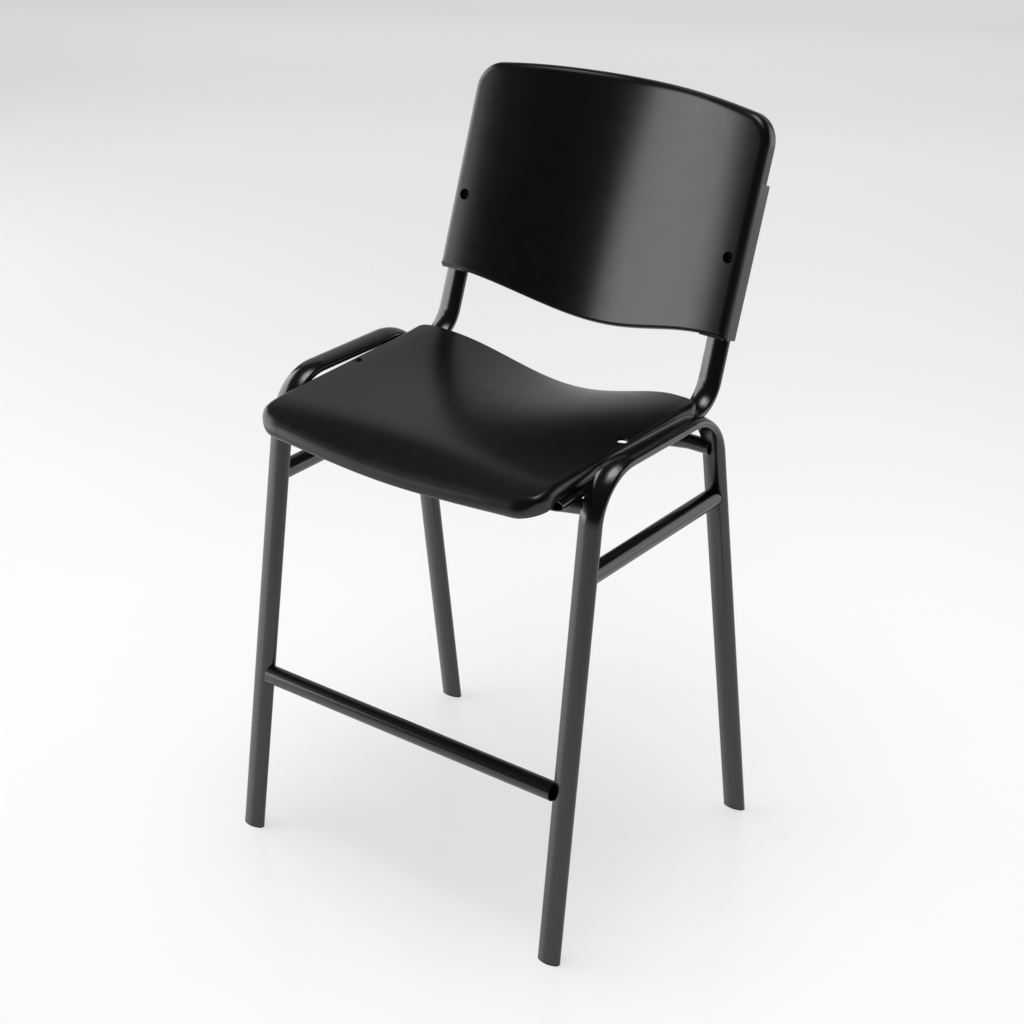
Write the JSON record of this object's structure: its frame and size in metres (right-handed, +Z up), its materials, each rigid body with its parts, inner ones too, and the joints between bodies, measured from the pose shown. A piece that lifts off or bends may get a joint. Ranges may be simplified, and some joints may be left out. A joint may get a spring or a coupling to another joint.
{
  "type": "counter chair",
  "caption": "Counter-height chair with bent oval-tube side frames, a footrest bar, and a dished moulded seat and backrest on bent uprights.",
  "frame": {"origin": "middle of the whole chair's footprint, on the floor", "axes": "+Z up, the chair's front faces -Y, +X is on the right of someone looking at its front"},
  "size_m": [0.5476, 0.5631, 0.9967],
  "materials": {
    "frame_paint": "satin powder coat",
    "shell_plastic": "satin moulded",
    "plug_plastic": "matte moulded",
    "screw_steel": "black oxide",
    "insert_steel": "zinc plated"
  },
  "bodies": {
    "root": {"side_frame_right": "frame_paint", "side_frame_left": "frame_paint", "back_support_right": "frame_paint", "back_support_left": "frame_paint", "front_crossbar": "frame_paint", "rear_crossbar": "frame_paint", "saddle_post_right": "frame_paint", "saddle_post_left": "frame_paint", "side_stretcher_right": "frame_paint", "side_stretcher_left": "frame_paint", "footrest_bar": "frame_paint", "seat_shell": "shell_plastic", "backrest_shell": "shell_plastic", "foot_plug_front_right": "plug_plastic", "foot_plug_front_left": "plug_plastic", "foot_plug_rear_right": "plug_plastic", "foot_plug_rear_left": "plug_plastic", "upright_plug_right": "plug_plastic", "upright_plug_left": "plug_plastic", "seat_screws": "screw_steel", "seat_screw_washers": "screw_steel", "backrest_screws": "screw_steel", "backrest_inserts": "insert_steel"}
  },
  "joints": []
}
